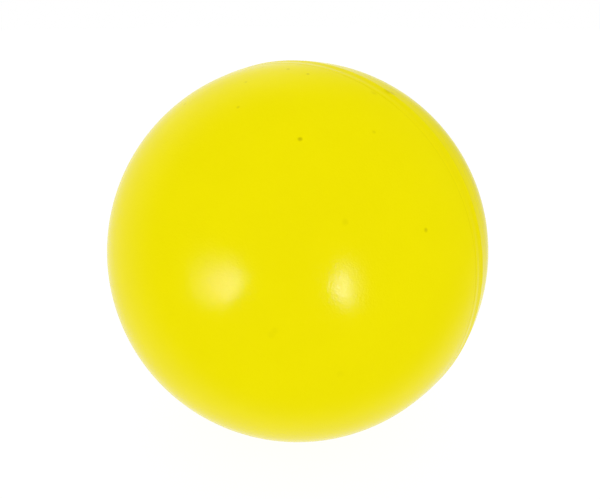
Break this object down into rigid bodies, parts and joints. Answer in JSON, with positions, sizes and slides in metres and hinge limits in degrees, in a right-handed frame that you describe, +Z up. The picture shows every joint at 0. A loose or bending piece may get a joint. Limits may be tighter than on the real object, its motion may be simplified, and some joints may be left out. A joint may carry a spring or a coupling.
{
  "type": "playground ball",
  "caption": "Inflatable rubber playground ball: moulded yellow cover with a parting band round it, thread-wound carcass, bladder and a needle valve.",
  "frame": {"origin": "centre of the ball", "axes": "+Y along the mould axis, out through the valve; the parting band lies in the XZ plane; +Z up"},
  "size_m": [0.217, 0.2158, 0.217],
  "materials": {
    "cover_rubber": "satin, fine grip grain",
    "nylon_thread": "rubber-dipped thread",
    "butyl_rubber": "satin",
    "patch_fabric": "rubbered cotton",
    "valve_rubber": "satin",
    "plug_rubber": "matte"
  },
  "bodies": {
    "root": {"cover_plain_half": "cover_rubber", "cover_valve_half": "cover_rubber", "seam_band": "cover_rubber", "winding_layer": "nylon_thread", "bladder_plain_half": "butyl_rubber", "bladder_valve_half": "butyl_rubber", "valve_patch": "patch_fabric", "valve_housing": "valve_rubber", "valve_plug": "plug_rubber"}
  },
  "joints": []
}
